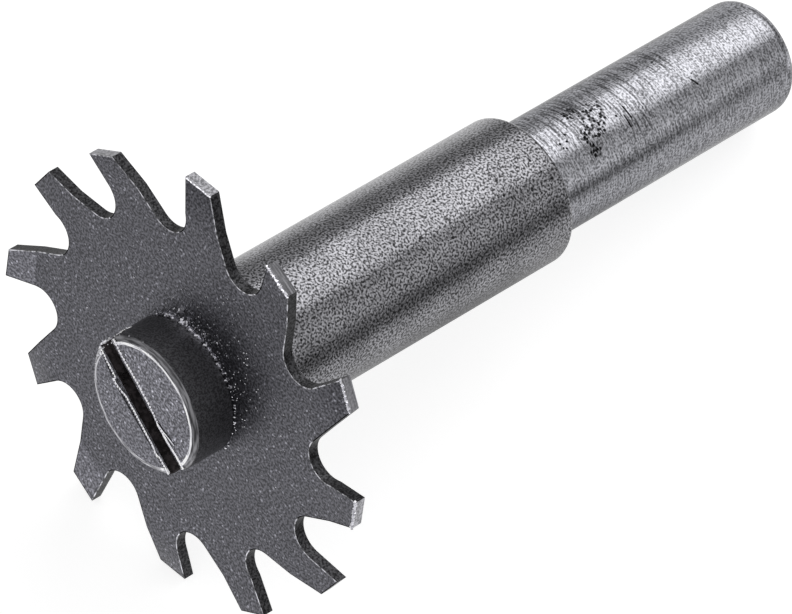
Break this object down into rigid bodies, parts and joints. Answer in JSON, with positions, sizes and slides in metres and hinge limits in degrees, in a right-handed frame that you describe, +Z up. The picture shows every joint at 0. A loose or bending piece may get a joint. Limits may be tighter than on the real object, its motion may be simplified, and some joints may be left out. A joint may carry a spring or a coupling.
{
  "type": "slot cutter router bit",
  "caption": "Thin toothed disc with alternately set teeth, clamped by a slotted cheese-head screw to a stepped round arbor; cuts narrow slots when its shank turns in a router.",
  "frame": {"origin": "on the ground, under the middle of the whole tool's box as it lies at rest", "axes": "+Z up; the tool lies along Y with its screw towards -Y and its shank end towards +Y, its axis sloping down to the shank end; X across"},
  "size_m": [0.0306, 0.0552, 0.03],
  "materials": {
    "arbor": "grey steel, matt and pitted on the body, ground on the shank",
    "cutter_disc": "dark grey hardened steel, satin, with bright worn edges",
    "clamp_screw": "dark steel with a lighter worn face and a burred slot"
  },
  "bodies": {
    "root": {"arbor": "arbor", "cutter_disc": "cutter_disc", "clamp_screw": "clamp_screw"}
  },
  "joints": []
}
